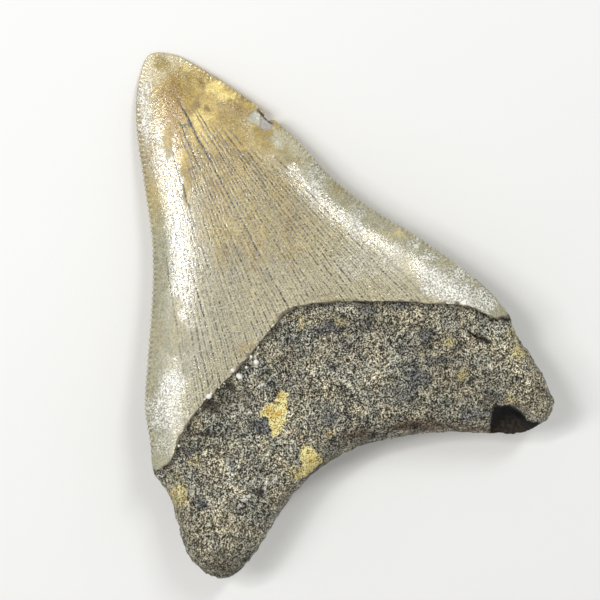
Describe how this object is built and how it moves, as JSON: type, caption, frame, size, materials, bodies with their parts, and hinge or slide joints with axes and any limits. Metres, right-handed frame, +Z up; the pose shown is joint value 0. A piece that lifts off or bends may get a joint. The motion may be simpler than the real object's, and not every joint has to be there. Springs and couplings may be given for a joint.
{
  "type": "fossil megalodon tooth",
  "caption": "Triangular fossil shark tooth with fine saw edges, a beige enamel crown and a dark rough two-lobed root, lying on its domed side.",
  "frame": {"origin": "on the surface that the tooth lies on, under the middle of its box", "axes": "+Y from the root towards the tip, +X across the tooth, +Z up out of the flat labial face"},
  "size_m": [0.0618, 0.0786, 0.0156],
  "materials": {
    "fossil": "worn satin enamel with a rough mineral root"
  },
  "bodies": {
    "root": {"tooth": "fossil"}
  },
  "joints": []
}
